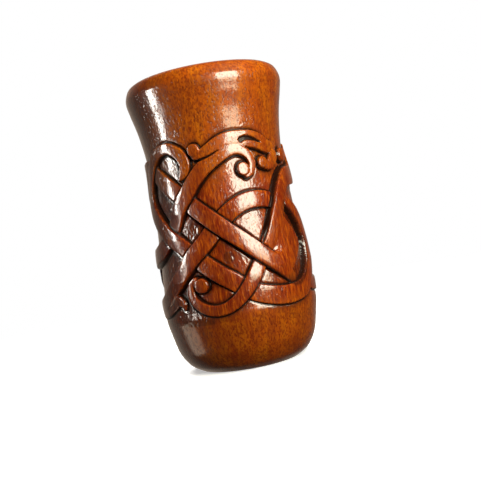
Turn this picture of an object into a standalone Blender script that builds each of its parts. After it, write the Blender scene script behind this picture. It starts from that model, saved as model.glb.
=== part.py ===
"""A tall drinking cup hollowed from one piece of wood and carved with interlaced bands.

Three separate pieces: the carved cup body, a tapered base plug that is driven down from the inside
onto the cone of the foot hole, and a bead of beeswax that seals the joint between them.

Metres, +Z up. The origin is on the axis, in the plane of the foot ring. Angles round the cup start at
-Y and grow towards +X. The carving is drawn once and repeated round the cup.
"""

import math

import bmesh
import bpy
from mathutils import Vector

# ---------------------------------------------------------------- driving dimensions
CUP_HEIGHT = 0.155
FOOT_RADIUS = 0.0270  # outer edge of the flat ring that the cup stands on
BELLY_RADIUS = 0.0409  # widest plain wood, just under the carving
WAIST_RADIUS = 0.0361  # ground of the carving at its narrowest
RIM_RADIUS = 0.0421
WALL = 0.0056  # least wall, from the bore to the ground of the carving
LIP_THICKNESS = 0.0086  # across the rounded rim

BASE_THICKNESS = 0.0120  # height of the floor above the foot plane
FLOOR_CORNER = 0.0075  # radius between the floor and the wall of the bore
PLUG_RADIUS = 0.0205  # plug at its lower, narrow end
PLUG_TAPER = 0.12  # growth of the plug's radius over its height
PLUG_RECESS = 0.0016  # how far the plug stops above the foot plane
JOINT_GAP = 0.0003  # between the plug, the wax and the body
WAX_WIDTH = 0.0026  # rebate round the top of the plug, which the wax fills
WAX_DEPTH = 0.0022
WAX_CROWN = 0.0004  # how far the bead stands above the floor

PLAIN_FOOT = 0.030  # plain wood below the carving
PLAIN_NECK = 0.035  # plain wood above it, up to the crest of the rim
RELIEF = 0.0030  # how far the bands stand out of the ground
RELIEF_AT_FOOT = 0.0010  # the same at the lower edge, where the bands run into the belly
RELIEF_AT_NECK = 0.0021  # the same at the upper edge
RELIEF_RAMP = 0.020  # height over which the relief grows from its lower edge
BITE = 0.0011  # how far a band's foot reaches under the ground, so that it joins the body
DRAWN_HEIGHT = 90.0  # the drawing's own height, in its units
DRAWN_RADIUS = 40.0  # the radius that the drawing was laid out on, in its units
DRAWN_RELIEF = 3.0  # how far its bands stand out, in its units
REPEATS = 2  # times that the drawing goes round the cup

TURNED_STEPS = 60
STATION_STEP = 6.0  # drawing units between two sections of a band
KNOB_SIDES = 12

# ---------------------------------------------------------------- the drawing
# Bands by their centre lines: angle in degrees, height and width in drawing units, and the lift of the
# top over the level of the bands, which is below 0 where the band dips under another one.
BANDS = {
    "ring_and_loop": [
        (-29.8, 71.0, 2.2, 0.0), (-26.4, 73.4, 4.8, 0.0), (-24.6, 77.8, 6.0, 0.0), (-27, 82.2, 6.0, 0.0),
        (-32, 85.4, 5.8, 0.0), (-38, 87.2, 5.5, 0.0), (-45, 87.0, 5.4, 0.0), (-52, 85.2, 5.6, 0.0),
        (-59, 81.5, 6.0, 0.0), (-65, 76.5, 6.6, 0.0), (-70, 71, 7.2, 0.0), (-72, 65, 7.8, 0.0),
        (-69, 58.5, 8.2, 0.0), (-63, 53, 8.4, 0.0), (-57, 48.7, 8.4, 0.0), (-50, 43.8, 8.2, 0.0),
        (-42, 39.6, 8.2, -0.3), (-34, 34.8, 8.2, -1.2), (-27, 30, 8.4, -1.5), (-19, 25.4, 8.6, -1.0),
        (-10, 20.2, 8.6, -0.4), (-3, 16.6, 8.6, -0.8), (4, 12.6, 8.6, -1.5), (12, 9.0, 8.6, -1.0),
        (22, 6.4, 9.0, -0.1), (32, 5.0, 9.2, 0.0), (42, 4.8, 9.2, 0.0), (52, 6.0, 9.2, 0.1),
        (60, 9.2, 9.0, 0.2), (67, 15, 8.8, 0.2), (71.5, 22, 8.6, 0.2), (73, 30, 8.4, 0.2),
        (70.5, 38, 8.2, 0.1), (64.8, 44.5, 7.6, 0.0), (59.5, 48.6, 6.8, -0.3), (55, 52, 5.6, -0.9),
    ],
    "hook_and_stem": [
        (-30, 19.6, 3.0, -0.2), (-34, 16.6, 3.6, 0.0), (-34.6, 12.2, 4.2, 0.0), (-32, 8.5, 4.6, 0.0),
        (-26, 5.0, 5.0, 0.1), (-18, 3.2, 5.2, 0.1), (-9, 3.9, 5.6, 0.1), (0, 7.4, 6.0, 0.2),
        (7, 12.2, 6.5, 0.2), (12.5, 17, 6.8, -0.2), (19, 23, 7.0, -1.3), (25, 28.6, 7.4, -1.6),
        (30, 33.5, 7.6, -0.8), (37, 41, 7.2, 0.0), (43.3, 48, 7.0, 0.1), (49.3, 55, 7.2, 0.1),
        (55, 60, 7.8, 0.1), (61, 63, 9.0, 0.0), (68, 64.4, 10.0, 0.0), (77, 65, 9.8, 0.0),
        (85, 67, 9.0, 0.0), (93, 71.5, 8.2, -0.2), (101, 79, 7.4, -0.4),
    ],
    "crossing_band": [
        (-79, 80, 7.2, -0.4), (-71, 80.8, 7.4, -0.8), (-63, 78.6, 8.0, -1.4), (-54, 74, 8.6, -1.0),
        (-45, 69, 8.8, -0.5), (-36, 63.8, 8.6, -1.1), (-28, 58.6, 8.6, -1.6), (-20, 53.6, 8.4, -0.8),
        (-11, 48, 8.4, 0.0), (0, 40.8, 8.4, 0.1), (11, 34, 8.2, 0.2), (20, 28, 8.0, 0.2),
        (29, 22.4, 7.6, 0.1), (37, 17.2, 6.6, -0.2), (44, 12.6, 5.4, -1.2),
    ],
    "scroll": [
        (78, 30.5, 8.0, -1.6), (88, 31.5, 8.4, -0.6), (100, 33.5, 8.6, -0.2), (110, 35, 8.6, -0.1),
        (118, 37, 8.6, -0.2), (125, 40, 8.4, -0.6), (132, 44, 8.2, -1.4), (138, 49, 8.0, -1.2),
        (142.5, 54, 7.8, -0.3), (147.5, 58.5, 7.8, 0.1), (153.5, 62.8, 7.8, 0.2), (160, 68, 7.8, 0.2),
        (168, 73, 7.8, 0.1), (176, 76.4, 7.6, 0.0), (184, 78.7, 6.6, 0.0), (191, 80, 5.4, 0.0),
        (198, 80.1, 4.8, 0.0), (204.5, 77.8, 4.6, 0.0), (207.8, 73.5, 4.0, 0.0), (206.4, 69.2, 3.8, 0.0),
        (202, 67.4, 3.8, 0.0),
    ],
    "arch": [
        (-14.5, 80.8, 5.0, -0.2), (-10, 80.8, 5.2, -0.2), (-4, 82.2, 6.0, -0.2), (3, 84.4, 6.6, -0.2),
        (11, 85.6, 7.6, -0.2), (20, 85.6, 7.8, -0.2), (29, 84.8, 8.6, -0.2), (37, 83.2, 8.2, -0.3),
        (44, 80.8, 7.4, -0.6), (51, 79.8, 6.4, -1.3),
    ],
    "arch_curl": [
        (57.5, 79.6, 5.4, -2.3), (54.5, 77.0, 6.0, -1.0), (50.5, 73.8, 5.8, -0.3), (45.5, 71.0, 5.2, -0.4),
        (40.8, 70.8, 4.6, -0.5),
    ],
    "rising_band": [
        (70, 7.0, 6.8, -1.2), (82, 6.0, 7.0, -0.4), (95, 6.4, 7.2, -0.2), (108, 8.6, 7.4, 0.0),
        (118, 11.6, 7.6, 0.0), (127, 16, 7.7, 0.1), (135, 20.4, 7.7, 0.2), (142, 25, 7.8, 0.3),
        (150, 30.6, 8.2, 0.2), (160, 36.4, 8.8, -0.5), (169, 42.2, 9.0, -1.6), (178, 47.6, 8.6, -1.4),
        (186, 51.3, 8.4, -0.5), (194, 53.6, 8.4, -0.2), (202, 54.5, 8.4, -0.2), (211, 54.2, 8.2, -0.5),
        (219, 52.8, 7.8, -1.3), (225, 51, 7.0, -1.8),
    ],
    "leaf": [
        (104, 3.4, 4.6, -0.3), (114, 5.2, 5.8, -0.4), (124, 8.2, 6.2, -0.8), (131, 10.2, 5.4, -0.4),
        (135.5, 8.8, 4.2, -0.3), (137, 6.2, 1.8, -0.6),
    ],
}
# Round ends of the bands: angle, height, radius and lift.
KNOBS = {
    "hook_knob": (-25.4, 16.5, 3.6, 0.3),
    "scroll_knob": (19.8, 70.2, 3.3, 0.3),
    "arch_left_knob": (-15.4, 83.4, 3.2, 0.1),
    "arch_right_knob": (64.4, 75.6, 3.6, 0.2),
    "curl_knob": (37.8, 72.3, 2.9, -0.1),
}
# The hollowed elbow between the stem and the loop, by its outline.
ELBOW_OUTLINE = [
    (27, 26), (33, 31), (39, 37), (45, 43.5), (52, 47), (60, 45), (66, 39), (69, 30), (66, 20),
    (59, 12), (50, 8), (43, 8), (36, 14),
]
ELBOW_LIFT = -1.5

# ---------------------------------------------------------------- turned shapes
# Heights of the outline's stations, as shares of the cup's height.
SHARE = {
    "toe": 0.025, "heel": 0.070, "flank": 0.130, "belly": 0.185, "ground_start": 0.225,
    "low_ground": 0.33, "mid_ground": 0.45, "high_ground": 0.57, "waist": 0.68, "neck": 0.765,
    "flare": 0.845, "under_rim": 0.91, "rim": 0.953, "rim_top": 0.987,
}
BORE_STATIONS = ["under_rim", "flare", "neck", "waist", "high_ground", "mid_ground", "low_ground", "belly"]
BORE_FLARE = 0.020  # extra wall for each unit of height share above the neck


def between(low, high, share):
    return low + (high - low) * share


def outer_profile():
    """(radius, height) of the outside without its bands, from the foot to the crest of the rim."""
    heel, slope, flare = BELLY_RADIUS - FOOT_RADIUS, BELLY_RADIUS - WAIST_RADIUS, RIM_RADIUS - WAIST_RADIUS
    radius = {
        "toe": FOOT_RADIUS + 0.41 * heel, "heel": FOOT_RADIUS + 0.72 * heel,
        "flank": BELLY_RADIUS - 0.11 * heel, "belly": BELLY_RADIUS,
        "ground_start": BELLY_RADIUS - 0.08 * slope, "low_ground": WAIST_RADIUS + 0.65 * slope,
        "mid_ground": WAIST_RADIUS + 0.40 * slope, "high_ground": WAIST_RADIUS + 0.17 * slope,
        "waist": WAIST_RADIUS, "neck": WAIST_RADIUS + 0.14 * flare, "flare": WAIST_RADIUS + 0.44 * flare,
        "under_rim": WAIST_RADIUS + 0.82 * flare, "rim": RIM_RADIUS,
        "rim_top": RIM_RADIUS - 0.20 * LIP_THICKNESS,
    }
    stations = [(radius[name], share * CUP_HEIGHT) for name, share in SHARE.items()]
    return [(FOOT_RADIUS, 0.0), *stations, (RIM_RADIUS - 0.52 * LIP_THICKNESS, CUP_HEIGHT)]


def spline(p, q, r, s, t):
    """A Catmull-Rom value between q and r."""
    return q + 0.5 * t * (r - p + t * (2 * p - 5 * q + 4 * r - s + t * (3 * (q - r) + s - p)))


def smooth(points, steps):
    """A smooth curve through the points, which may hold any number of values each."""
    fine = []
    padded = [points[0], *points, points[-1]]
    for near in zip(padded, padded[1:], padded[2:], padded[3:]):
        fine += [tuple(spline(*values, k / steps) for values in zip(*near)) for k in range(steps)]
    return [*fine, tuple(points[-1])]


def radius_at(profile, height):
    """The profile's radius at a height, by straight steps between its points."""
    for (r0, z0), (r1, z1) in zip(profile, profile[1:]):
        if z0 <= height <= z1:
            return between(r0, r1, (height - z0) / (z1 - z0))
    return profile[-1][0]


GROUND = smooth(outer_profile(), 2)


def bore_profile():
    """(radius, height) of the inside, from the crest of the rim down to the floor."""
    lip = [
        (RIM_RADIUS - 0.86 * LIP_THICKNESS, SHARE["rim_top"] * CUP_HEIGHT),
        (RIM_RADIUS - LIP_THICKNESS, SHARE["rim"] * CUP_HEIGHT),
    ]
    wall = []
    for share in (SHARE[name] for name in BORE_STATIONS):
        thickness = WALL + BORE_FLARE * max(0.0, share - SHARE["neck"])
        wall.append((radius_at(GROUND, share * CUP_HEIGHT) - thickness, share * CUP_HEIGHT))
    corner = [
        (wall[-1][0] - FLOOR_CORNER * (1 - math.cos(a)), BASE_THICKNESS + FLOOR_CORNER * (1 - math.sin(a)))
        for a in (math.radians(18 * k) for k in range(6))
    ]
    return [*lip, *wall, *corner]


def turned(name, points):
    """A body turned round Z from its section, which is closed unless it starts on the axis."""
    mesh = bpy.data.meshes.new(name)
    edges = [(i, i + 1) for i in range(len(points) - 1)]
    if points[0][0] > 0.0:
        edges.append((len(points) - 1, 0))
    mesh.from_pydata([(r, 0.0, z) for r, z in points], edges, [])
    obj = bpy.data.objects.new(name, mesh)
    screw = obj.modifiers.new("Turn", "SCREW")
    screw.steps = screw.render_steps = TURNED_STEPS
    screw.merge_threshold = 0.00001
    screw.use_merge_vertices = True
    return obj


# ---------------------------------------------------------------- the plug, the wax and the seat
def plug_radius_at(height):
    return PLUG_RADIUS + PLUG_TAPER * (height - PLUG_RECESS)


def seat_profile():
    """(radius, height) of the body's cone for the plug, from the foot plane up to the floor."""
    return [(plug_radius_at(height) + JOINT_GAP, height) for height in (0.0, BASE_THICKNESS)]


def plug_section():
    top, shelf = BASE_THICKNESS, BASE_THICKNESS - WAX_DEPTH
    neck = plug_radius_at(top) - WAX_WIDTH
    return [
        (0.0, top), (neck, top), (neck, shelf), (plug_radius_at(shelf), shelf),
        (PLUG_RADIUS, PLUG_RECESS), (0.0, PLUG_RECESS),
    ]


def wax_section():
    """A bead that fills the plug's rebate, up against the body, and is crowned above the floor."""
    top, bottom = BASE_THICKNESS, BASE_THICKNESS - WAX_DEPTH + JOINT_GAP
    inner = plug_radius_at(top) - WAX_WIDTH + JOINT_GAP
    outer = plug_radius_at(top)
    return [
        (between(inner, outer, 0.5), top + WAX_CROWN), (outer, top), (plug_radius_at(bottom), bottom),
        (inner, bottom), (inner, top),
    ]


# ---------------------------------------------------------------- the carved bands
def band_level(height):
    """Radius of the bands' tops over the ground at a height."""
    top = CUP_HEIGHT - PLAIN_NECK
    ramp = min(max((height - PLAIN_FOOT) / RELIEF_RAMP, 0.0), 1.0)
    fall = min(max((height - PLAIN_FOOT) / (top - PLAIN_FOOT), 0.0), 1.0) ** 3
    relief = between(RELIEF_AT_FOOT, RELIEF, ramp) - (RELIEF - RELIEF_AT_NECK) * fall
    return radius_at(GROUND, height) + relief


def place(angle, drawn, lift, on_top):
    """A point of the drawing on the cup: on the bands' level, or under the ground."""
    height = PLAIN_FOOT + drawn * (CUP_HEIGHT - PLAIN_NECK - PLAIN_FOOT) / DRAWN_HEIGHT
    ground = radius_at(GROUND, height)
    relief = band_level(height) - ground
    radius = ground + relief * (1.0 + lift / DRAWN_RELIEF) if on_top else ground - BITE
    turn = math.radians(angle)
    return Vector((radius * math.sin(turn), -radius * math.cos(turn), height))


def stations(path):
    """Sections of a band at even steps along its smoothed centre line."""
    fine = smooth(path, 8)
    picked, travelled = [fine[0]], 0.0
    for a, b in zip(fine, fine[1:]):
        travelled += math.hypot(math.radians(b[0] - a[0]) * DRAWN_RADIUS, b[1] - a[1])
        if travelled >= STATION_STEP:
            picked.append(b)
            travelled = 0.0
    picked[-1] = fine[-1]
    return picked


def band(name, path, turn):
    """A closed strip of four-sided sections wrapped on the cup along the path."""
    sections = []
    points = stations(path)
    for i, (angle, drawn, width, lift) in enumerate(points):
        before, after = points[max(i - 1, 0)], points[min(i + 1, len(points) - 1)]
        along = Vector((math.radians(after[0] - before[0]) * DRAWN_RADIUS, after[1] - before[1])).normalized()
        swing, rise = math.degrees(-along.y * width / 2 / DRAWN_RADIUS), along.x * width / 2
        sections.append([
            place(angle + turn + side * swing, drawn + side * rise, lift, on_top)
            for side, on_top in ((1, False), (1, True), (-1, True), (-1, False))
        ])
    mesh = bmesh.new()
    rings = [[mesh.verts.new(point) for point in section] for section in sections]
    for a, b in zip(rings, rings[1:]):
        for k in range(4):
            mesh.faces.new((a[k], b[k], b[(k + 1) % 4], a[(k + 1) % 4]))
    mesh.faces.new(rings[0])
    mesh.faces.new(rings[-1][::-1])
    return closed_object(name, mesh)


def prism(name, outline, lift, turn):
    """A flat-topped piece wrapped on the cup from a closed outline."""
    mesh = bmesh.new()
    count = len(outline)
    middle = tuple(sum(values) / count for values in zip(*outline))
    levels = []
    for on_top in (False, True):
        points = [place(angle + turn, drawn, lift, on_top) for angle, drawn in (*outline, middle)]
        levels.append([mesh.verts.new(point) for point in points])
    (*low, under), (*high, over) = levels
    for k in range(count):
        n = (k + 1) % count
        mesh.faces.new((low[k], low[n], high[n], high[k]))
        mesh.faces.new((high[k], high[n], over))
        mesh.faces.new((low[n], low[k], under))
    return closed_object(name, mesh)


def knob(name, angle, drawn, radius, lift, turn):
    outline = [
        (angle + math.degrees(radius * math.cos(a) / DRAWN_RADIUS), drawn + radius * math.sin(a))
        for a in (math.tau * k / KNOB_SIDES for k in range(KNOB_SIDES))
    ]
    return prism(name, outline, lift, turn)


def closed_object(name, mesh):
    bmesh.ops.recalc_face_normals(mesh, faces=mesh.faces)
    data = bpy.data.meshes.new(name)
    mesh.to_mesh(data)
    mesh.free()
    return bpy.data.objects.new(name, data)


def carving():
    """Every band, knob and elbow of the drawing, once for each repeat."""
    pieces = []
    for repeat in range(REPEATS):
        turn = 360.0 * repeat / REPEATS
        pieces += [band(f"{name}_{repeat}", path, turn) for name, path in BANDS.items()]
        pieces += [knob(f"{name}_{repeat}", *values, turn) for name, values in KNOBS.items()]
        pieces.append(prism(f"elbow_{repeat}", ELBOW_OUTLINE, ELBOW_LIFT, turn))
    return pieces


# ---------------------------------------------------------------- materials and scene
def wood(name, colour, roughness):
    material = bpy.data.materials.new(name)
    material.use_nodes = True
    shader = material.node_tree.nodes["Principled BSDF"]
    shader.inputs["Base Color"].default_value = (*colour, 1.0)
    shader.inputs["Roughness"].default_value = roughness
    shader.inputs["Metallic"].default_value = 0.0
    return material


def add(obj, collection, material=None):
    collection.objects.link(obj)
    if material:
        obj.data.materials.append(material)
    return obj


def main():
    for obj in list(bpy.data.objects):
        bpy.data.objects.remove(obj)
    cup = bpy.data.collections.new("carved_wooden_cup")
    helpers = bpy.data.collections.new("carving_pieces")
    bpy.context.scene.collection.children.link(cup)
    bpy.context.scene.collection.children.link(helpers)

    section = [*reversed(GROUND), *seat_profile(), *reversed(bore_profile())]
    body = turned("cup_body", section)
    add(body, cup, wood("stained_wood", (0.33, 0.10, 0.025), 0.25))
    for piece in carving():
        add(piece, helpers)
        piece.hide_render = True
        piece.display_type = "WIRE"
    union = body.modifiers.new("Carve", "BOOLEAN")
    union.operation = "UNION"
    union.operand_type = "COLLECTION"
    union.collection = helpers
    union.solver = "EXACT"

    plug = turned("base_plug", plug_section())
    add(plug, cup, wood("plug_wood", (0.28, 0.11, 0.035), 0.45))
    wax = turned("wax_seal", wax_section())
    add(wax, cup, wood("beeswax", (0.62, 0.38, 0.12), 0.5))


main()
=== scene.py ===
"""The looks of a tall carved wooden cup: the finely carved body, its base plug and wax bead.

The body is a turned form whose outside is raised and cut by a relief: bands that pass over and under
each other, knobs, a hollowed elbow, stop cuts along every edge and gouge marks in the ground. The
relief is drawn once, in millimetres on the unrolled cup, and repeated round it. Angles start at -Y and
grow towards +X.
"""

import math

import bpy
import numpy as np
from mathutils import Matrix, Vector


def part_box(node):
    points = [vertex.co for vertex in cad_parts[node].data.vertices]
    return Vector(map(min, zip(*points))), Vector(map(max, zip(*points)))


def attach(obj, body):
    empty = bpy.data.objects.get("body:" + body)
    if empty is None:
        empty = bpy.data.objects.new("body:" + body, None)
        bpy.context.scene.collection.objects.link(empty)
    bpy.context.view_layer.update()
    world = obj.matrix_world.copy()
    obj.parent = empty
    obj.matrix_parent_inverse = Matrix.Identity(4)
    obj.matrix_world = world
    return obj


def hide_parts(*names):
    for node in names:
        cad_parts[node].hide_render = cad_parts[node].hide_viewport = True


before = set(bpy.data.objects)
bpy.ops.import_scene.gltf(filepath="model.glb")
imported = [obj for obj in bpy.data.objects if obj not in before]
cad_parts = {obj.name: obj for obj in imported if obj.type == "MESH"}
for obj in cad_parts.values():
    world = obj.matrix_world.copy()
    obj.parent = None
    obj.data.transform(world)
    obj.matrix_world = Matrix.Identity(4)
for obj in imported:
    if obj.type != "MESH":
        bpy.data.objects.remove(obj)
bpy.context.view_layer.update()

# ---------------------------------------------------------------- sizes, in metres
FOOT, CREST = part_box("cup_body")
CUP_HEIGHT = CREST.z - FOOT.z
_, PLUG_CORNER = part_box("base_plug")
FLOOR_HEIGHT = PLUG_CORNER.z
PLUG_TOP_RADIUS = PLUG_CORNER.x
FOOT_RADIUS = 0.0270
BELLY_RADIUS = 0.0409
WAIST_RADIUS = 0.0361
RIM_RADIUS = 0.0421
WALL = 0.0056
WALL_GROWTH = 0.020  # what the neck's wall would gain in thickness over the cup's whole height
LIP_THICKNESS = 0.0086
CREST_RADIUS = RIM_RADIUS - 0.52 * LIP_THICKNESS
FLOOR_CORNER = 0.0075  # the rounding between wall and floor
JOINT_GAP = 0.0003  # between the body and the plug
PLUG_TAPER = 0.12  # how much the plug's radius grows with its height
EDGE_ROUNDING = 0.0006  # at the foot ring and the seat

# Shares of the height: where the neck starts to flare, where the rim is widest, where its lip turns over.
NECK_START, WIDEST, LIP_TURN = 0.765, 0.953, 0.987
OUTSIDE_STEPS, BORE_STEPS = 12, 4  # rings to each station of the outside and of the bore

PLAIN_FOOT = 0.030  # height of the foot that has no carving
PLAIN_NECK = 0.035  # and of the neck that has none
RELIEF = 0.0030  # how far a full band stands out of the ground
RELIEF_AT_FOOT = 0.0010
RELIEF_AT_NECK = 0.0021
RELIEF_RAMP = 0.020  # the height over which it grows from the foot
RELIEF_FALL = 3  # the power by which it falls towards the neck
SEAM = 0.0004  # least height between the plain rings and the carving's

# ---------------------------------------------------------------- the drawing, in its own millimetres
DRAWN_HEIGHT = 90.0
DRAWN_RADIUS = 40.0
DRAWN_RELIEF = 3.0
REPEATS = 2  # round the cup
MARGIN = 3.0  # relief that is still worked out past the drawing's top and bottom
COLUMNS = 720  # round the cup
ROW_STEP = 0.36  # between two rows of the carving
PATH_STEPS = 10  # short straight pieces to each point of a centre line
REACH = 4.0  # how far past its edge a band is still worked out
FAR = 99.0  # a distance for whatever lies past that
WALL_START, WALL_RUN = 0.12, 0.55  # how far inside a band's edge its wall starts, and how far it leans out
CROWN = 0.26  # how much lower a band is at its edges than along its middle
KNOB_DOME, KNOB_SHOULDER = 0.35, 0.2  # how much higher a knob is in its middle, and how much lower it starts
GROUND_HEIGHT = 0.8  # up to which the surface counts as ground
BESIDE_FROM, BESIDE_RUN = -0.20, 0.5  # from where, past its edge, a place counts as beside a band
PROUD_FROM, PROUD_RUN = 0.25, 0.8  # the height at which a wall gets a stop cut, and over which it deepens
CUT_DEPTH, CUT_WIDTH = 0.50, 0.50  # the stop cut along the foot of a wall
CUT_INSET = 0.05  # how far its middle lies inside WALL_RUN
HIGH_FROM, HIGH_RUN = 1.5, 1.2  # the same heights for a trench
TRENCH_DEPTH, TRENCH_WIDTH = 0.45, 1.5  # the hollow that runs into the stop cut where the wall is high
TRENCH_FROM = 0.4  # how far past the band's edge it is at its deepest
CORNER_FROM, CORNER_RUN = 0.45, 0.55  # how far past the edge the darkest stain and painted shade go, and over which they fade
TRENCH_STAIN_AND_SHADE = 0.85  # how dark a trench is painted: gathered stain and painted shade
POOL_PAINTED_SHADOW, PAINTED_SHADOW_WIDTH = 0.46, 2.6  # how dark the painted shadow beside a high wall is, and how far it reaches
GROOVE_INSET, GROOVE_RUN = 0.25, 0.6  # how far inside its edge a groove is at its deepest, and its wall's run

# Bands by their centre lines: angle in degrees, height and width, and the lift of the top over the
# level of the bands, which is below 0 where the band dips under another one.
BANDS = {
    "ring_and_loop": [
        (-29.8, 71.0, 2.2, 0.0), (-26.4, 73.4, 4.8, 0.0), (-24.6, 77.8, 6.0, 0.0), (-27, 82.2, 6.0, 0.0),
        (-32, 85.4, 5.8, 0.0), (-38, 87.2, 5.5, 0.0), (-45, 87.0, 5.4, 0.0), (-52, 85.2, 5.6, 0.0),
        (-59, 81.5, 6.0, 0.0), (-65, 76.5, 6.6, 0.0), (-70, 71, 7.2, 0.0), (-72, 65, 7.8, 0.0),
        (-69, 58.5, 8.2, 0.0), (-63, 53, 8.4, 0.0), (-57, 48.7, 8.4, 0.0), (-50, 43.8, 8.2, 0.0),
        (-42, 39.6, 8.2, -0.3), (-34, 34.8, 8.2, -1.2), (-27, 30, 8.4, -1.5), (-19, 25.4, 8.6, -1.0),
        (-10, 20.2, 8.6, -0.4), (-3, 16.6, 8.6, -0.8), (4, 12.6, 8.6, -1.5), (12, 9.0, 8.6, -1.0),
        (22, 6.4, 9.0, -0.1), (32, 5.0, 9.2, 0.0), (42, 4.8, 9.2, 0.0), (52, 6.0, 9.2, 0.1),
        (60, 9.2, 9.0, 0.2), (67, 15, 8.8, 0.2), (71.5, 22, 8.6, 0.2), (73, 30, 8.4, 0.2),
        (70.5, 38, 8.2, 0.1), (64.8, 44.5, 7.6, 0.0), (59.5, 48.6, 6.8, -0.3), (55, 52, 5.6, -0.9),
    ],
    "hook_and_stem": [
        (-30, 19.6, 3.0, -0.2), (-34, 16.6, 3.6, 0.0), (-34.6, 12.2, 4.2, 0.0), (-32, 8.5, 4.6, 0.0),
        (-26, 5.0, 5.0, 0.1), (-18, 3.2, 5.2, 0.1), (-9, 3.9, 5.6, 0.1), (0, 7.4, 6.0, 0.2),
        (7, 12.2, 6.5, 0.2), (12.5, 17, 6.8, -0.2), (19, 23, 7.0, -1.3), (25, 28.6, 7.4, -1.6),
        (30, 33.5, 7.6, -0.8), (37, 41, 7.2, 0.0), (43.3, 48, 7.0, 0.1), (49.3, 55, 7.2, 0.1),
        (55, 60, 7.8, 0.1), (61, 63, 9.0, 0.0), (68, 64.4, 10.0, 0.0), (77, 65, 9.8, 0.0),
        (85, 67, 9.0, 0.0), (93, 71.5, 8.2, -0.2), (101, 79, 7.4, -0.4),
    ],
    "crossing_band": [
        (-79, 80, 7.2, -0.4), (-71, 80.8, 7.4, -0.8), (-63, 78.6, 8.0, -1.4), (-54, 74, 8.6, -1.0),
        (-45, 69, 8.8, -0.5), (-36, 63.8, 8.6, -1.1), (-28, 58.6, 8.6, -1.6), (-20, 53.6, 8.4, -0.8),
        (-11, 48, 8.4, 0.0), (0, 40.8, 8.4, 0.1), (11, 34, 8.2, 0.2), (20, 28, 8.0, 0.2),
        (29, 22.4, 7.6, 0.1), (37, 17.2, 6.6, -0.2), (44, 12.6, 5.4, -1.2),
    ],
    "scroll": [
        (78, 30.5, 8.0, -1.6), (88, 31.5, 8.4, -0.6), (100, 33.5, 8.6, -0.2), (110, 35, 8.6, -0.1),
        (118, 37, 8.6, -0.2), (125, 40, 8.4, -0.6), (132, 44, 8.2, -1.4), (138, 49, 8.0, -1.2),
        (142.5, 54, 7.8, -0.3), (147.5, 58.5, 7.8, 0.1), (153.5, 62.8, 7.8, 0.2), (160, 68, 7.8, 0.2),
        (168, 73, 7.8, 0.1), (176, 76.4, 7.6, 0.0), (184, 78.7, 6.6, 0.0), (191, 80, 5.4, 0.0),
        (198, 80.1, 4.8, 0.0), (204.5, 77.8, 4.6, 0.0), (207.8, 73.5, 4.0, 0.0), (206.4, 69.2, 3.8, 0.0),
        (202, 67.4, 3.8, 0.0),
    ],
    "arch": [
        (-14.5, 80.8, 5.0, -0.2), (-10, 80.8, 5.2, -0.2), (-4, 82.2, 6.0, -0.2), (3, 84.4, 6.6, -0.2),
        (11, 85.6, 7.6, -0.2), (20, 85.6, 7.8, -0.2), (29, 84.8, 8.6, -0.2), (37, 83.2, 8.2, -0.3),
        (44, 80.8, 7.4, -0.6), (51, 79.8, 6.4, -1.3),
    ],
    "arch_curl": [
        (57.5, 79.6, 5.4, -2.3), (54.5, 77.0, 6.0, -1.0), (50.5, 73.8, 5.8, -0.3), (45.5, 71.0, 5.2, -0.4),
        (40.8, 70.8, 4.6, -0.5),
    ],
    "rising_band": [
        (70, 7.0, 6.8, -1.2), (82, 6.0, 7.0, -0.4), (95, 6.4, 7.2, -0.2), (108, 8.6, 7.4, 0.0),
        (118, 11.6, 7.6, 0.0), (127, 16, 7.7, 0.1), (135, 20.4, 7.7, 0.2), (142, 25, 7.8, 0.3),
        (150, 30.6, 8.2, 0.2), (160, 36.4, 8.8, -0.5), (169, 42.2, 9.0, -1.6), (178, 47.6, 8.6, -1.4),
        (186, 51.3, 8.4, -0.5), (194, 53.6, 8.4, -0.2), (202, 54.5, 8.4, -0.2), (211, 54.2, 8.2, -0.5),
        (219, 52.8, 7.8, -1.3), (225, 51, 7.0, -1.8),
    ],
    "leaf": [
        (104, 3.4, 4.6, -0.3), (114, 5.2, 5.8, -0.4), (124, 8.2, 6.2, -0.8), (131, 10.2, 5.4, -0.4),
        (135.5, 8.8, 4.2, -0.3), (137, 6.2, 1.8, -0.6),
    ],
}
# Round ends of the bands: angle, height, radius and lift.
KNOBS = {
    "hook_knob": (-25.4, 16.5, 3.6, 0.3),
    "scroll_knob": (19.8, 70.2, 3.3, 0.3),
    "arch_left_knob": (-15.4, 83.4, 3.2, 0.1),
    "arch_right_knob": (64.4, 75.6, 3.6, 0.2),
    "curl_knob": (37.8, 72.3, 2.9, -0.1),
}
# Grooves cut with a gouge, by centre lines with widths, and how deep they are.
GROOVES = {
    "arch_slot": ([
        (21.6, 84.7, 2.6), (25.3, 85.4, 2.3), (30, 84.9, 1.8), (34.5, 83.8, 1.2), (38.4, 82.6, 0.4),
    ], 1.9),
    "line_under_the_arch": ([
        (-17, 77.7, 1.2), (-10, 78.3, 1.1), (-5, 79.1, 0.9), (-1, 80.1, 0.7), (3.2, 81.3, 0.3),
    ], 0.9),
    "furrow_by_the_stem": ([
        (24.2, 32.6, 0.6), (27.6, 37, 1.3), (31.6, 43, 1.8), (37.3, 50.6, 2.2), (43.4, 58, 2.4),
        (50, 64.2, 2.2), (57, 68.2, 1.6), (64, 70.4, 0.6),
    ], 1.0),
}
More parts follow.
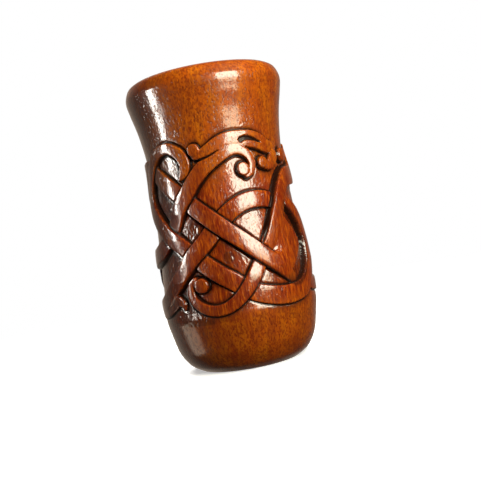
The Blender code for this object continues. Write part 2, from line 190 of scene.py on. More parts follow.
# The hollowed elbow between the stem, the crossing band and the loop, by its outline.
ELBOW_OUTLINE = [
    (26, 26.5), (31, 33.5), (38, 41), (44, 48), (50, 52), (57, 47), (64, 40), (69, 30), (66, 20),
    (59, 12), (50, 8), (43, 8), (36, 14),
]
ELBOW_LOW = -0.6  # its height above the ground along the loop
ELBOW_RUN = 11.0  # over which it sinks towards the loop
ELBOW_REACH = 24.0  # how far from the stem and the crossing band it goes
ELBOW_EDGE = 1.6  # over which it fades in at its outline
ELBOW_BLEND = 0.3  # how near one of those two it is where the other has no say in its height
HOLLOW_STAIN_AND_SHADE = 0.50  # how dark the elbow is painted along the loop: stain and painted shade in the hollow
# Gouge marks in the ground: how many, then ranges of half length, half width and depth, and the mean and
# spread of their turn from upright in radians.
GOUGE_MARKS = 2600
GOUGE_LENGTH, GOUGE_WIDTH, GOUGE_BITE = (1.6, 3.2), (0.55, 0.95), (0.12, 0.30)
GOUGE_TURN = (0.3, 0.7)
GOUGE_SEED = 11
SMOOTH_GROUND = 0.26  # how rough the ground is where it was smoothed
ROUGH_STAIN = 0.40  # how dark the rough ground is
ROUGH_RUN = 0.5  # how much rougher than the smooth ground it is where it is darkest
ROUGH_RISE = 1.4  # how steeply a rough place starts at its rim
# Places where the ground was left rough from the gouge: angle, height, radius and how rough.
ROUGH_GROUND = {
    "in_the_ring": (-46, 74, 15.0, 0.5), "left_of_the_hook": (-34, 0.0, 14.0, 1.7),
    "by_the_rising_band": (-29, 43, 8.0, 1.2), "in_the_elbow": (60, 24, 8.0, 0.3),
    "by_the_loop": (-21, 33, 4.0, 1.0), "between_the_strands": (-3, 28, 5.0, 1.0),
}

# ---------------------------------------------------------------- the materials
# Heights between which the carved zone's deeper stain starts, and fades out again, in metres.
STAIN_FROM = (0.026, 0.036)
STAIN_TO = (0.106, 0.090)
COLOURS = {
    "plain_wood": (0.150, 0.019, 0.001), "plain_light": (0.300, 0.059, 0.001),
    "plain_blotch": (0.350, 0.098, 0.001), "plain_speckle": (0.105, 0.012, 0.001),
    "carved_wood": (0.095, 0.006, 0.0005), "carved_light": (0.195, 0.021, 0.0005),
    "carved_blotch": (0.240, 0.040, 0.0005),
    "dark_grain": (0.075, 0.003, 0.0005), "light_grain": (0.340, 0.070, 0.001),
    "streak": (0.075, 0.007, 0.001), "fibre": (0.300, 0.060, 0.002), "pore": (0.026, 0.004, 0.001),
    "stain_and_painted_shade_colour": (0.006, 0.0025, 0.0015),
    "plug_pale": (0.28, 0.105, 0.028), "plug_dark": (0.16, 0.05, 0.014), "plug_speck": (0.09, 0.03, 0.01),
    "wax_pale": (0.52, 0.30, 0.07), "wax_deep": (0.36, 0.18, 0.04),
    "floor": (0.90, 0.90, 0.90), "white": (1.0, 1.0, 1.0), "room": (1.0, 0.80, 0.64),
}
# The stained wood's noises: the scale of Z, which below 1 draws them out along the grain, then their shift
# in space, scale per metre, detail and roughness.
WOOD_NOISES = {
    "tone": (0.45, (0.0, 0.0, 0.0), 34.0, 4.0, 0.62),
    "blotch": (0.30, (0.5, 0.9, 0.2), 150.0, 3.0, 0.6),
    "streak": (0.05, (0.0, 0.0, 0.0), 650.0, 4.0, 0.6),
    "fibre": (0.07, (0.3, 0.1, 0.0), 2100.0, 2.0, 0.6),
    "speckle": (0.45, (0.2, 0.6, 0.1), 1250.0, 2.0, 0.5),
    "grain": (0.14, (0.1, 0.2, 0.7), 1250.0, 3.0, 0.55),
    "pores": (0.16, (0.7, 0.2, 0.4), 2600.0, 1.0, 0.4),
    "sway": (0.5, (0.0, 0.0, 0.0), 210.0, 2.0, 0.55),
    "dust": (0.6, (0.4, 0.8, 0.3), 1500.0, 2.0, 0.55),
}
PORE_RANGE = (0.60, 0.72)  # of the noise, from no pore to a pore
WOOD_ROUGHNESS = (0.30, 0.44)  # between its streaks and on them
WOOD_SHEEN = 0.08
WOOD_BUMP, VARNISH_BUMP = (0.35, 0.00012), (0.36, 0.0004)  # strength and metres
VARNISH_ROUGHNESS, VARNISH_IOR = 0.09, 1.5
VARNISH_WEIGHT = (0.50, 0.95, 1.0, 0.15)  # from one darkness of stain and painted shade to another, and the varnish's weight at each
VARNISH_PITS, VARNISH_DUST = -0.35, 0.25  # how much each adds to the varnish's waves
# Layers of stain, from the lowest: the noise, its range, the layer's share at the two ends of that range,
# and the layer's colour.
PLAIN_LAYERS = [
    ("tone", 0.36, 0.66, 0.0, 1.0, "plain_light"), ("blotch", 0.42, 0.68, 0.0, 0.60, "plain_blotch"),
    ("speckle", 0.50, 0.58, 0.0, 0.78, "plain_speckle"),
]
CARVED_LAYERS = [
    ("tone", 0.36, 0.66, 0.0, 1.0, "carved_light"), ("blotch", 0.42, 0.68, 0.0, 0.60, "carved_blotch"),
    ("grain", 0.38, 0.52, 0.80, 0.0, "dark_grain"), ("grain", 0.52, 0.66, 0.0, 0.75, "light_grain"),
]
# The last top layer darkens corners, trenches, hollows and grooves with gathered stain and painted shade.
TOP_LAYERS = [
    ("streak", 0.42, 0.64, 0.0, 0.50, "streak"), ("fibre", 0.45, 0.75, 0.0, 0.40, "fibre"),
    ("pores", *PORE_RANGE, 0.0, 0.62, "pore"), ("stain_and_painted_shade", 0.05, 0.70, 0.0, 0.96, "stain_and_painted_shade_colour"),
]

# ---------------------------------------------------------------- the camera
LENS, SENSOR = 57.6, 36.0  # millimetres
CLIP_START, CLIP_END = 0.01, 30.0  # metres
CAMERA_DISTANCE = 2.7  # times the cup's height
CAMERA_RISE = -1.11  # degrees, as are the next three
CAMERA_ROLL = 10.2
AIM_RIGHT, AIM_DOWN = 1.08, 1.55

# ---------------------------------------------------------------- the lights, in metres and degrees
LIGHTS = {
    "front_window": {
        "azimuth": 36, "distance": 0.50, "height": 0.235, "size": (0.30, 0.27), "power": 5.2,
        "colour": (0.97, 0.98, 0.80),
    },
    "front_soft": {
        "azimuth": 28, "distance": 0.50, "height": 0.235, "size": (0.30, 0.27), "power": 4.8,
        "colour": (1.0, 0.97, 0.84),
    },
    "sill_below_it": {
        "azimuth": 36, "distance": 0.50, "height": 0.070, "size": (0.24, 0.06), "power": 0.52,
        "colour": (1.0, 0.88, 0.58),
    },
    "side_window": {
        "azimuth": -76, "distance": 0.32, "height": 0.150, "size": (0.050, 0.13), "power": 0.76,
        "colour": (1.0, 0.98, 0.90),
    },
    "sill_at_the_side": {
        "azimuth": -69, "distance": 0.32, "height": 0.045, "size": (0.045, 0.08), "power": 0.10,
        "colour": (1.0, 0.92, 0.82),
    },
    "low_card": {
        "azimuth": -89, "distance": 0.26, "height": -0.088, "size": (0.13, 0.12), "power": 0.10,
        "colour": (1.0, 0.80, 0.60),
    },
    "right_fill": {
        "azimuth": 50, "distance": 0.16, "height": 0.29, "size": (0.16, 0.16), "power": 0.85,
        "colour": (1.0, 0.97, 0.92),
    },
    "overhead": {
        "azimuth": 20, "distance": 0.25, "height": 0.80, "size": (0.5, 0.5), "power": 3.2,
        "colour": (1.0, 0.95, 0.86),
    },
    "back_window": {
        "azimuth": 205, "distance": 0.40, "height": 0.50, "size": (0.30, 0.30), "power": 5.0,
        "colour": (1.0, 0.97, 0.92),
    },
}
# Lights that are seen in the varnish but don't light the wood. The others do the reverse.
GLINTS_ONLY = ["front_window", "sill_below_it", "side_window", "sill_at_the_side", "low_card"]
ROOM_DIM, ROOM_BRIGHT = 0.05, 0.42  # the room's light away from its bright side, and there
BRIGHT_SIDE = (-0.25, 0.968, 0.0)  # the direction in which the room is brightest
BRIGHT_FROM = 0.45  # the cosine of the angle to it at which the room starts to get brighter
FLOOR_GLOW = 0.45
FLOOR_FADE = (0.16, 0.50)  # metres from the cup's axis
FLOOR_REACH = 0.60
FLOOR_SIDES = 96
FLOOR_GAP = 0.0002  # between the floor and the cup's foot


# ---------------------------------------------------------------- curves
def smooth(points, steps):
    """A Catmull-Rom curve through the points, which may hold any number of values each."""
    p = np.array([points[0], *points, points[-1]], float)
    t = (np.arange(steps) / steps)[:, None]
    spans = []
    for before, a, b, after in zip(p, p[1:], p[2:], p[3:]):
        bend = t * (2 * before - 5 * a + 4 * b - after + t * (3 * (a - b) + after - before))
        spans.append(a + 0.5 * t * (b - before + bend))
    return np.vstack([*spans, p[-1:]])


def ease(x):
    """0 to 1 with a smooth start and end."""
    x = np.clip(x, 0.0, 1.0)
    return x * x * (3.0 - 2.0 * x)


# ---------------------------------------------------------------- the turned form
def outer_profile():
    """(radius, height) of the outside without its bands, from the foot to the crest of the rim."""
    heel, slope, flare = BELLY_RADIUS - FOOT_RADIUS, BELLY_RADIUS - WAIST_RADIUS, RIM_RADIUS - WAIST_RADIUS
    return [
        (FOOT_RADIUS, 0.0),
        (FOOT_RADIUS + 0.41 * heel, 0.025),
        (FOOT_RADIUS + 0.72 * heel, 0.070),
        (BELLY_RADIUS - 0.11 * heel, 0.130),
        (BELLY_RADIUS, 0.185),
        (BELLY_RADIUS - 0.08 * slope, 0.225),
        (WAIST_RADIUS + 0.65 * slope, 0.33),
        (WAIST_RADIUS + 0.40 * slope, 0.45),
        (WAIST_RADIUS + 0.17 * slope, 0.57),
        (WAIST_RADIUS, 0.68),
        (WAIST_RADIUS + 0.14 * flare, NECK_START),
        (WAIST_RADIUS + 0.44 * flare, 0.845),
        (WAIST_RADIUS + 0.82 * flare, 0.91),
        (RIM_RADIUS, WIDEST),
        (RIM_RADIUS - 0.20 * LIP_THICKNESS, LIP_TURN),
        (CREST_RADIUS, 1.0),
    ]


GROUND = smooth(outer_profile(), OUTSIDE_STEPS) * (1.0, CUP_HEIGHT)


def ground_radius(height):
    """The outside's radius without its bands, at a height or several."""
    return np.interp(height, GROUND[:, 1], GROUND[:, 0])


def bore_profile():
    """(radius, height) of the inside, from the crest of the rim down to the floor."""
    stations = [
        (CREST_RADIUS, 1.0),
        (RIM_RADIUS - 0.86 * LIP_THICKNESS, LIP_TURN),
        (RIM_RADIUS - LIP_THICKNESS, WIDEST),
    ]
    for share in (0.91, 0.845, NECK_START, 0.68, 0.57, 0.45, 0.33, 0.185):
        thickness = WALL + WALL_GROWTH * max(0.0, share - NECK_START)
        stations.append((float(ground_radius(share * CUP_HEIGHT)) - thickness, share))
    wall = smooth(stations, BORE_STEPS) * (1.0, CUP_HEIGHT)
    a = np.radians(np.linspace(15, 90, 6))  # the wall leans in, so it meets the rounding a little way round
    corner = np.stack([
        wall[-1, 0] - FLOOR_CORNER * (1 - np.cos(a)), FLOOR_HEIGHT + FLOOR_CORNER * (1 - np.sin(a)),
    ], 1)
    return np.vstack([wall, corner])


def seat_profile():
    """(radius, height) of the foot ring and the cone that holds the plug, with broken edges."""
    low = PLUG_TOP_RADIUS + JOINT_GAP - PLUG_TAPER * FLOOR_HEIGHT
    high = PLUG_TOP_RADIUS + JOINT_GAP
    e = EDGE_ROUNDING
    return np.array([
        (FOOT_RADIUS - e, 0.0), (low + e, 0.0), (low + 0.3 * e, 0.3 * e), (low, e),
        (high, FLOOR_HEIGHT - 0.4 * e), (high + 0.4 * e, FLOOR_HEIGHT),
    ])


# ---------------------------------------------------------------- the relief on the unrolled cup
class Sheet:
    """One repeat of the unrolled carving: a grid in drawing millimetres, periodic in x."""

    def __init__(self):
        self.period = math.tau * DRAWN_RADIUS / REPEATS
        self.columns = COLUMNS // REPEATS
        self.step_x = self.period / self.columns
        self.rows = round((DRAWN_HEIGHT + 2 * MARGIN) / ROW_STEP) + 1
        self.x = np.arange(self.columns) * self.step_x
        self.y = -MARGIN + np.arange(self.rows) * ROW_STEP
        self.shape = (self.rows, self.columns)

    def window(self, x, y, reach):
        """Index arrays of the cells within reach of a point, and their offsets from it."""
        left, right = math.floor((x - reach) / self.step_x), math.ceil((x + reach) / self.step_x)
        low = max(0, math.floor((y - reach - self.y[0]) / ROW_STEP))
        high = min(self.rows - 1, math.ceil((y + reach - self.y[0]) / ROW_STEP))
        columns = np.arange(left, right + 1)
        rows = np.arange(low, high + 1)
        dx = columns * self.step_x - x
        dy = self.y[rows] - y
        return np.ix_(rows, columns % self.columns), dx[None, :], dy[:, None]


def trace(sheet, path, reach=REACH):
    """Distance from a band's centre line, and the band's half width and lift at the nearest point."""
    distance = np.full(sheet.shape, FAR)
    half, lift = np.full(sheet.shape, 0.1), np.zeros(sheet.shape)  # half isn't 0, as it divides
    points = smooth(path, PATH_STEPS)
    points[:, 0] = np.radians(points[:, 0]) * DRAWN_RADIUS
    for a, b in zip(points, points[1:]):
        run = b[:2] - a[:2]
        cells, dx, dy = sheet.window(a[0], a[1], max(a[2], b[2]) / 2 + reach)
        t = np.clip((dx * run[0] + dy * run[1]) / float(run @ run), 0.0, 1.0)
        away = np.hypot(dx - t * run[0], dy - t * run[1])
        width, rise = a[2] + t * (b[2] - a[2]), a[3] + t * (b[3] - a[3])
        nearer = away < distance[cells]
        for field, value in ((distance, away), (half, width / 2), (lift, rise)):
            field[cells] = np.where(nearer, value, field[cells])
    return distance, half, lift


def inside_outline(sheet, outline):
    """How deep each cell lies inside a closed outline, negative outside it."""
    x, y = np.meshgrid(sheet.x, sheet.y)
    corners = np.array([(math.radians(a) * DRAWN_RADIUS, h) for a, h in outline])
    inside = np.zeros(sheet.shape, bool)
    nearest = np.full(sheet.shape, FAR)
    for (x0, y0), (x1, y1) in zip(corners, np.roll(corners, -1, 0)):
        run_x, run_y = x1 - x0, y1 - y0
        if run_y != 0:
            inside ^= ((y0 > y) != (y1 > y)) & (x < run_x * (y - y0) / run_y + x0)
        t = np.clip(((x - x0) * run_x + (y - y0) * run_y) / (run_x**2 + run_y**2), 0, 1)
        nearest = np.minimum(nearest, np.hypot(x - x0 - t * run_x, y - y0 - t * run_y))
    return np.where(inside, nearest, -nearest)


def walled(top, outside):
    """(height of a raised shape above the ground, height of its top alone, distance outside its edge)."""
    return top * (1.0 - ease((outside + WALL_START) / WALL_RUN)), top, outside


def band_shape(distance, half, lift):
    """What walled says, for a band with a crown that falls off towards its edges."""
    across = np.clip(distance / half, 0.0, 1.0)
    return walled(DRAWN_RELIEF + lift - CROWN * across**3, distance - half)


def knob_shape(sheet, angle, height, radius, lift):
    """What walled says, for a round knob with a domed top."""
    distance = np.full(sheet.shape, FAR)
    cells, dx, dy = sheet.window(math.radians(angle) * DRAWN_RADIUS, height, radius + REACH)
    distance[cells] = np.hypot(dx, dy)
    dome = KNOB_DOME * np.sqrt(np.clip(1.0 - (distance / radius) ** 2, 0.0, 1.0))
    return walled(DRAWN_RELIEF + lift + dome - KNOB_SHOULDER, distance - radius)


def elbow(sheet, from_loop):
    """(height, darkness of stain and painted shade) of the elbow, which sinks from the stem and the crossing
    band to the loop.
    """
    inside = inside_outline(sheet, ELBOW_OUTLINE)
    level, weights = 0.0, 0.0
    for name in ("hook_and_stem", "crossing_band"):
        _, top, outside = band_shape(*trace(sheet, BANDS[name], ELBOW_REACH))
        weight = 1.0 / (np.clip(outside, 0.0, None) + ELBOW_BLEND) ** 2
        level, weights = level + weight * top, weights + weight
    sink = 1.0 - ease(np.clip(from_loop, 0.0, None) / ELBOW_RUN)
    level, shown = level / weights, ease(inside / ELBOW_EDGE + 0.5)
    return (level + (ELBOW_LOW - level) * sink) * shown, sink * shown


def gouge_marks(sheet):
    """Short overlapping gouge cuts all over the sheet, as depths."""
    random = np.random.default_rng(GOUGE_SEED)
    depth = np.zeros(sheet.shape)
    for _ in range(GOUGE_MARKS):
        x, y = random.uniform(0, sheet.period), random.uniform(sheet.y[0], sheet.y[-1])
        length, width = random.uniform(*GOUGE_LENGTH), random.uniform(*GOUGE_WIDTH)
        turn, bite = random.normal(*GOUGE_TURN), random.uniform(*GOUGE_BITE)
        cells, dx, dy = sheet.window(x, y, length)
        along = (dx * math.sin(turn) + dy * math.cos(turn)) / length
        across = (dx * math.cos(turn) - dy * math.sin(turn)) / width
        cut = bite * np.clip(1.0 - along**2 - across**2, 0.0, 1.0)
        depth[cells] = np.maximum(depth[cells], cut)
    return depth


def roughness_map(sheet):
    """How much of the gouge marks was left: as ROUGH_GROUND says in its places, little elsewhere."""
    rough = np.full(sheet.shape, SMOOTH_GROUND)
    for angle, height, radius, strength in ROUGH_GROUND.values():
        cells, dx, dy = sheet.window(math.radians(angle) * DRAWN_RADIUS, height, radius)
        from_rim = 1.0 - np.hypot(dx, dy) / radius
        rough[cells] = np.maximum(rough[cells], strength * ease(ROUGH_RISE * from_rim))
    return rough


def cuts_along_walls(sheet, shapes, height):
    """(depth of stop cuts, depth of trenches, darkness of stain and painted shade) beside the shapes' walls:
    gathered stain with painted shade at their feet and in trenches, and a painted shadow beside high walls.
    """
    cut, trench, corner, painted_shadow_pool = (np.zeros(sheet.shape) for _ in range(4))
    for _, top, outside in shapes:
        above = top - height
        proud = ease((above - PROUD_FROM) / PROUD_RUN)
        beside = ease((outside - BESIDE_FROM) / BESIDE_RUN)
        high = ease((above - HIGH_FROM) / HIGH_RUN) * beside
        # Painted shade: the feet of walls and trenches darken with stain and shade, and a painted shadow
        # pools beside high walls.
        dark = np.exp(-((np.maximum(outside - CORNER_FROM, 0.0) / CORNER_RUN) ** 2))
        cut = np.maximum(cut, proud * np.exp(-(((outside - WALL_RUN + CUT_INSET) / CUT_WIDTH) ** 2)))
        corner = np.maximum(corner, proud * beside * dark)
        trench = np.maximum(trench, high * (1.0 - ease((outside - TRENCH_FROM) / TRENCH_WIDTH)))
        painted_shadow_pool = np.maximum(painted_shadow_pool, high * np.exp(-((outside / PAINTED_SHADOW_WIDTH) ** 2)))
    stain_and_shade = np.maximum(corner, np.maximum(TRENCH_STAIN_AND_SHADE * trench, POOL_PAINTED_SHADOW * painted_shadow_pool))
    return CUT_DEPTH * cut, TRENCH_DEPTH * trench, stain_and_shade


def carve():
    """(sheet, height, stain and painted shade): the relief in drawing millimetres and how dark its corners
    are, from gathered stain and painted shade.
    """
    sheet = Sheet()
    bands = {name: band_shape(*trace(sheet, path)) for name, path in BANDS.items()}
    shapes = [*bands.values(), *(knob_shape(sheet, *values) for values in KNOBS.values())]
    height, hollow = elbow(sheet, bands["ring_and_loop"][2])
    for raised, _, _ in shapes:
        height = np.maximum(height, raised)
    ground = 1.0 - ease(height / GROUND_HEIGHT)
    rough = roughness_map(sheet)
    left_rough = np.clip((rough - SMOOTH_GROUND) / ROUGH_RUN, 0.0, 1.0)
    cut, trench, stain_and_painted_shade = cuts_along_walls(sheet, shapes, height)
    # The elbow's hollow is darkened towards the loop with stain and painted shade, and the rough ground with
    # stain.
    stain_and_painted_shade = np.maximum(stain_and_painted_shade, np.maximum(ROUGH_STAIN * ground * left_rough, HOLLOW_STAIN_AND_SHADE * hollow))
    height = height - cut - trench - ground * rough * gouge_marks(sheet)
    for path, depth in GROOVES.values():
        distance, half, _ = trace(sheet, [(*point, 0.0) for point in path])
        groove = 1.0 - ease((distance - half + GROOVE_INSET) / GROOVE_RUN)
        height = height - depth * groove
        # A groove is darkened as far as it goes: stain and painted shade in its hollow.
        stain_and_painted_shade = np.maximum(stain_and_painted_shade, groove)
    return sheet, height, stain_and_painted_shade


def relief_scale(height):
    """How far a full band stands out of the ground at a height on the cup."""
    top = CUP_HEIGHT - PLAIN_NECK
    ramp = np.clip((height - PLAIN_FOOT) / RELIEF_RAMP, 0.0, 1.0)
    fall = np.clip((height - PLAIN_FOOT) / (top - PLAIN_FOOT), 0.0, 1.0) ** RELIEF_FALL
    return RELIEF_AT_FOOT + (RELIEF - RELIEF_AT_FOOT) * ramp - (RELIEF - RELIEF_AT_NECK) * fall


# ---------------------------------------------------------------- the body's mesh
def body_rings():
    """The body's closed section as rings of (radii, height, darkness of stain and painted shade), down the
    outside and up the inside.
    """
    sheet, relief, stain_and_painted_shade = carve()
    scale = (CUP_HEIGHT - PLAIN_NECK - PLAIN_FOOT) / DRAWN_HEIGHT
    carved_z = PLAIN_FOOT + sheet.y * scale
    plain = np.zeros(COLUMNS)
    rings = []
    for radius, z in GROUND[GROUND[:, 1] > carved_z[-1] + SEAM][::-1]:
        rings.append((plain + radius, z, plain))
    for z, row, dark in zip(carved_z[::-1], relief[::-1], stain_and_painted_shade[::-1]):
        raised = np.tile(row, REPEATS) * relief_scale(z) / DRAWN_RELIEF
        rings.append((ground_radius(z) + raised, z, np.tile(dark, REPEATS)))
    for radius, z in GROUND[GROUND[:, 1] < carved_z[0] - SEAM][::-1]:
        rings.append((plain + radius, z, plain))
    for radius, z in [*seat_profile(), *bore_profile()[1:][::-1]]:
        rings.append((plain + radius, z, plain))
    return rings


def body_mesh():
    """The rings joined to one closed surface, each cell split along its flatter diagonal."""
    rings = body_rings()
    radius = np.array([ring[0] for ring in rings])
    z = np.repeat(np.array([ring[1] for ring in rings])[:, None], COLUMNS, 1)
    stain_and_painted_shade = np.array([ring[2] for ring in rings])
    turn = np.arange(COLUMNS) * math.tau / COLUMNS
    points = np.stack([radius * np.sin(turn), -radius * np.cos(turn), z], -1).reshape(-1, 3)
    index = np.arange(len(rings) * COLUMNS).reshape(len(rings), COLUMNS)
    below, right = np.roll(index, -1, 0), np.roll(index, -1, 1)
    across = np.roll(below, -1, 1)
    falling = abs(radius - np.roll(np.roll(radius, -1, 0), -1, 1)) <= abs(
        np.roll(radius, -1, 0) - np.roll(radius, -1, 1)
    )
    a, b, c, d = (corner.ravel() for corner in (index, below, across, right))
    split = falling.ravel()[:, None]
    first = np.where(split, np.stack([a, b, c], 1), np.stack([a, b, d], 1))
    second = np.where(split, np.stack([a, c, d], 1), np.stack([b, c, d], 1))
    mesh = bpy.data.meshes.new("cup_body_carved")
    mesh.from_pydata(points, [], np.vstack([first, second]).tolist())
    mesh.shade_smooth()
    # Darkness of gathered stain and painted shade at each point, read by the wood's material.
    mesh.attributes.new("stain_and_painted_shade", "FLOAT", "POINT").data.foreach_set("value", stain_and_painted_shade.ravel())
    return mesh


# ---------------------------------------------------------------- materials
class Graph:
    """A short way to write a node material: each call makes a node and returns it or its output."""

    def __init__(self, name):
        self.material = bpy.data.materials.new(name)
        self.material.use_nodes = True
        self.tree = self.material.node_tree
        self.shader = self.tree.nodes["Principled BSDF"]

    def node(self, kind, settings=None, **inputs):
        node = self.tree.nodes.new(kind)
        for key, value in (settings or {}).items():
            setattr(node, key, value)
        for key, value in inputs.items():
            self.feed(node, key.replace("_", " "), value)
        return node

    def feed(self, node, key, value):
        socket = node.inputs[int(key)] if key.isdigit() else node.inputs[key]
        if isinstance(value, bpy.types.NodeSocket):
            self.tree.links.new(value, socket)
        else:
            socket.default_value = value

    def math(self, operation, a, b):
        node = self.tree.nodes.new("ShaderNodeMath")
        node.operation = operation
        self.feed(node, "0", a)
        self.feed(node, "1", b)
        return node.outputs[0]

    def stretch(self, value, low, high, to_low=0.0, to_high=1.0):
        node = self.node("ShaderNodeMapRange", {"clamp": True}, Value=value)
        for key, number in (("From Min", low), ("From Max", high), ("To Min", to_low), ("To Max", to_high)):
            self.feed(node, key, number)
        return node.outputs["Result"]

    def mix(self, share, a, b):
        node = self.tree.nodes.new("ShaderNodeMix")
        node.data_type = "RGBA"
        self.feed(node, "0", share)
        self.feed(node, "6", a)
        self.feed(node, "7", b)
        return node.outputs[2]

    def noise(self, place, scale, detail, roughness=0.55):
        node = self.node("ShaderNodeTexNoise", Vector=place, Scale=scale, Detail=detail, Roughness=roughness)
        return node.outputs["Fac"]

    def bump(self, height, strength, distance):
        node = self.node("ShaderNodeBump", Strength=strength, Distance=distance, Height=height)
        return node.outputs["Normal"]

    def layers(self, base, sources, layers):
        """A base colour with layers over it, each mixed in by the value of its source."""
        for name, low, high, least, most, tint in layers:
            base = self.mix(self.stretch(sources[name], low, high, least, most), base, colour(tint))
        return base

    def place(self, scale_z=1.0, shift=(0.0, 0.0, 0.0)):
        """Where a point is on the object, in metres, with Z scaled and all of it shifted."""
        where = self.node("ShaderNodeTexCoord").outputs["Object"]
        node = self.node("ShaderNodeMapping", Vector=where, Location=shift, Scale=(1.0, 1.0, scale_z))
        return node.outputs["Vector"]


def colour(name):
    return (*COLOURS[name], 1.0)


def stained_wood():
    """Red-amber stain under gloss varnish, with fine upright grain, pores, and corners darkened by gathered
    stain and painted shade.
    """
    g = Graph("stained_wood_varnished")
    source = {
        name: g.noise(g.place(scale_z, shift), scale, detail, roughness)
        for name, (scale_z, shift, scale, detail, roughness) in WOOD_NOISES.items()
    }
    source["stain_and_painted_shade"] = g.node("ShaderNodeAttribute", {"attribute_name": "stain_and_painted_shade"}).outputs["Fac"]
    up = g.node("ShaderNodeSeparateXYZ", **{"0": g.place()}).outputs["Z"]
    deep = g.math("MULTIPLY", g.stretch(up, *STAIN_FROM), g.stretch(up, *STAIN_TO))
    plain = g.layers(colour("plain_wood"), source, PLAIN_LAYERS)
    carved = g.layers(colour("carved_wood"), source, CARVED_LAYERS)
    g.feed(g.shader, "Base Color", g.layers(g.mix(deep, plain, carved), source, TOP_LAYERS))
    g.feed(g.shader, "Roughness", g.stretch(source["streak"], 0.3, 0.7, *WOOD_ROUGHNESS))
    g.feed(g.shader, "Specular IOR Level", WOOD_SHEEN)
    open_grain = g.math("SUBTRACT", source["streak"], g.stretch(source["pores"], *PORE_RANGE))
    g.feed(g.shader, "Normal", g.bump(open_grain, *WOOD_BUMP))
    # The varnish: thin where the corners are darkened by stain and painted shade, wavy, and pitted over the
    # dark specks.
    g.feed(g.shader, "Coat Weight", g.stretch(source["stain_and_painted_shade"], *VARNISH_WEIGHT))
    g.feed(g.shader, "Coat Roughness", VARNISH_ROUGHNESS)
    g.feed(g.shader, "Coat IOR", VARNISH_IOR)
    pits = g.stretch(source["speckle"], 0.60, 0.70, 0.0, VARNISH_PITS)
    dust = g.math("MULTIPLY", source["dust"], VARNISH_DUST)
    peel = g.math("ADD", g.math("ADD", source["sway"], pits), dust)
    g.feed(g.shader, "Coat Normal", g.bump(peel, *VARNISH_BUMP))
    return g.material


def plug_wood():
    """The same wood, oiled only, with growth rings across its end grain."""
    g = Graph("plug_wood_oiled")
    kind = {"wave_type": "RINGS", "rings_direction": "Z"}
    off_centre = g.place(0.2, (0.012, 0.007, 0.0))
    rings = g.node("ShaderNodeTexWave", kind, Vector=off_centre, Scale=160.0, Distortion=1.6)
    speck = g.noise(g.place(0.3), 2400.0, 2.0)
    ringed = g.mix(g.stretch(rings.outputs["Fac"], 0.2, 0.9), colour("plug_pale"), colour("plug_dark"))
    specked = g.mix(g.stretch(speck, 0.5, 0.7, 0.0, 0.5), ringed, colour("plug_speck"))
    g.feed(g.shader, "Base Color", specked)
    g.feed(g.shader, "Roughness", g.stretch(speck, 0.3, 0.7, 0.42, 0.58))
    g.feed(g.shader, "Normal", g.bump(speck, 0.4, 0.0001))
    return g.material


def beeswax():
    """Cloudy yellow wax, dull in places."""
    g = Graph("beeswax")
    cloud = g.noise(g.place(), 260.0, 3.0)
    clouded = g.mix(g.stretch(cloud, 0.3, 0.7), colour("wax_pale"), colour("wax_deep"))
    g.feed(g.shader, "Base Color", clouded)
    g.feed(g.shader, "Roughness", g.stretch(cloud, 0.3, 0.7, 0.38, 0.55))
    g.feed(g.shader, "Normal", g.bump(cloud, 0.4, 0.0003))
    return g.material


def pale_floor():
    """A pale sheet that thins out with the distance from the cup, so that it has no horizon."""
    g = Graph("pale_floor")
    g.feed(g.shader, "Base Color", colour("floor"))
    g.feed(g.shader, "Roughness", 0.9)
    g.feed(g.shader, "Specular IOR Level", 0.0)
    g.feed(g.shader, "Emission Color", colour("white"))
    g.feed(g.shader, "Emission Strength", FLOOR_GLOW)
    where = g.node("ShaderNodeTexCoord").outputs["Object"]
    far = g.node("ShaderNodeVectorMath", {"operation": "LENGTH"}, **{"0": where}).outputs["Value"]
    clear = g.node("ShaderNodeBsdfTransparent").outputs[0]
    thinned = g.stretch(far, *FLOOR_FADE)
    fade = g.node("ShaderNodeMixShader", **{"0": thinned, "1": g.shader.outputs[0], "2": clear})
    g.tree.links.new(fade.outputs[0], g.tree.nodes["Material Output"].inputs["Surface"])
    return g.material


# ---------------------------------------------------------------- pieces
def show(obj, material):
    obj.data.materials.clear()
    obj.data.materials.append(material)


def make_body():
    """The carved body, which stands in for the plain one of the CAD."""
    body = bpy.data.objects.new("cup_body_carved", body_mesh())
    bpy.context.scene.collection.objects.link(body)
    show(body, stained_wood())
    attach(body, "root")
    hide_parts("cup_body")


# ---------------------------------------------------------------- stage, lights and camera
def make_floor():
    """A round floor, which the cup neither reflects nor gets light from, and which casts no shadow on it."""
    bpy.ops.mesh.primitive_circle_add(vertices=FLOOR_SIDES, radius=FLOOR_REACH, fill_type="NGON")
    floor = bpy.context.object
    floor.name = "floor"
    floor.location.z = FOOT.z - FLOOR_GAP
    floor.visible_diffuse = floor.visible_glossy = floor.visible_shadow = False
    show(floor, pale_floor())


def around(azimuth, distance, height):
    """A place round the cup: azimuth 0 is in front, towards -Y."""
    a = math.radians(azimuth)
    return Vector((distance * math.sin(a), -distance * math.cos(a), height))


def make_lights():
    """Soft boxes facing the cup: upright, or aimed at its middle if they hang higher than they are away."""
    for name, spec in LIGHTS.items():
        light = bpy.data.lights.new(name, "AREA")
        light.shape = "RECTANGLE"
        light.size, light.size_y = spec["size"]
        light.energy = spec["power"]
        light.color = spec["colour"]
        obj = bpy.data.objects.new(name, light)
        obj.location = around(spec["azimuth"], spec["distance"], spec["height"])
        aim = Vector((0, 0, CUP_HEIGHT / 2)) - obj.location
        if spec["distance"] > spec["height"]:
            aim.z = 0.0
        obj.rotation_euler = aim.to_track_quat("-Z", "Y").to_euler()
        obj.visible_camera = False
        obj.visible_glossy = name in GLINTS_ONLY
        obj.visible_diffuse = not obj.visible_glossy
        bpy.context.scene.collection.objects.link(obj)


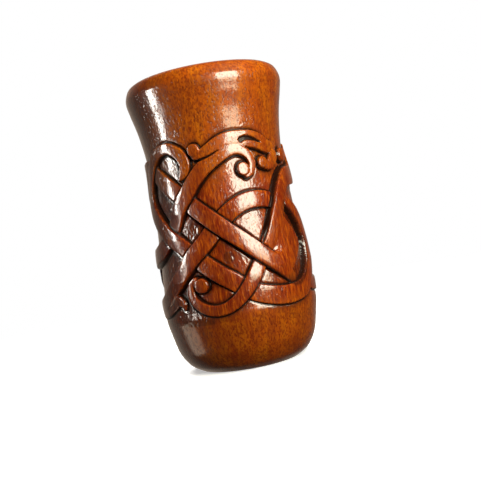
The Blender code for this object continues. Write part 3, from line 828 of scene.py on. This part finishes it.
def make_world():
    """White behind the cup, and for the cup itself a dim room that is brighter on one side."""
    world = bpy.data.worlds.new("studio")
    world.use_nodes = True
    tree = world.node_tree
    backdrop = tree.nodes["Background"]
    backdrop.inputs["Color"].default_value = colour("white")
    backdrop.inputs["Strength"].default_value = 1.0
    direction = tree.nodes.new("ShaderNodeTexCoord")
    towards = tree.nodes.new("ShaderNodeVectorMath")
    towards.operation = "DOT_PRODUCT"
    towards.inputs[1].default_value = BRIGHT_SIDE
    level = tree.nodes.new("ShaderNodeMapRange")
    levels = {"From Min": BRIGHT_FROM, "From Max": 1.0, "To Min": ROOM_DIM, "To Max": ROOM_BRIGHT}
    for key, value in levels.items():
        level.inputs[key].default_value = value
    room = tree.nodes.new("ShaderNodeBackground")
    room.inputs["Color"].default_value = colour("room")
    seen = tree.nodes.new("ShaderNodeLightPath")
    mix = tree.nodes.new("ShaderNodeMixShader")
    for output, socket in (
        (direction.outputs["Generated"], towards.inputs[0]),
        (towards.outputs["Value"], level.inputs["Value"]),
        (level.outputs["Result"], room.inputs["Strength"]),
        (seen.outputs["Is Camera Ray"], mix.inputs[0]),
        (room.outputs[0], mix.inputs[1]),
        (backdrop.outputs[0], mix.inputs[2]),
        (mix.outputs[0], tree.nodes["World Output"].inputs["Surface"]),
    ):
        tree.links.new(output, socket)
    bpy.context.scene.world = world


def make_camera():
    """A camera in front of the cup, rolled, and turned a little so that the cup isn't in the middle."""
    data = bpy.data.cameras.new("camera")
    data.lens, data.sensor_width = LENS, SENSOR
    data.clip_start, data.clip_end = CLIP_START, CLIP_END
    camera = bpy.data.objects.new("camera", data)
    rise, roll = math.radians(CAMERA_RISE), math.radians(CAMERA_ROLL)
    middle = Vector((0, 0, CUP_HEIGHT / 2))
    back = Vector((0, -math.cos(rise), math.sin(rise)))
    right = Vector((1, 0, 0))
    up = back.cross(right)
    image_right = right * math.cos(roll) - up * math.sin(roll)
    image_up = right * math.sin(roll) + up * math.cos(roll)
    sideways = image_right * math.tan(math.radians(AIM_RIGHT))
    downwards = image_up * math.tan(math.radians(AIM_DOWN))
    z = -(-back + sideways - downwards).normalized()
    x = (image_right - z * image_right.dot(z)).normalized()
    turn = Matrix((x, z.cross(x), z)).transposed()
    camera.matrix_world = Matrix.Translation(middle + back * CAMERA_DISTANCE * CUP_HEIGHT) @ turn.to_4x4()
    bpy.context.scene.collection.objects.link(camera)
    bpy.context.scene.camera = camera


def main():
    make_camera()
    make_world()
    make_lights()
    make_floor()
    make_body()
    show(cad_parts["base_plug"], plug_wood())
    show(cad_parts["wax_seal"], beeswax())
    bpy.context.scene.view_settings.view_transform = "Standard"


main()
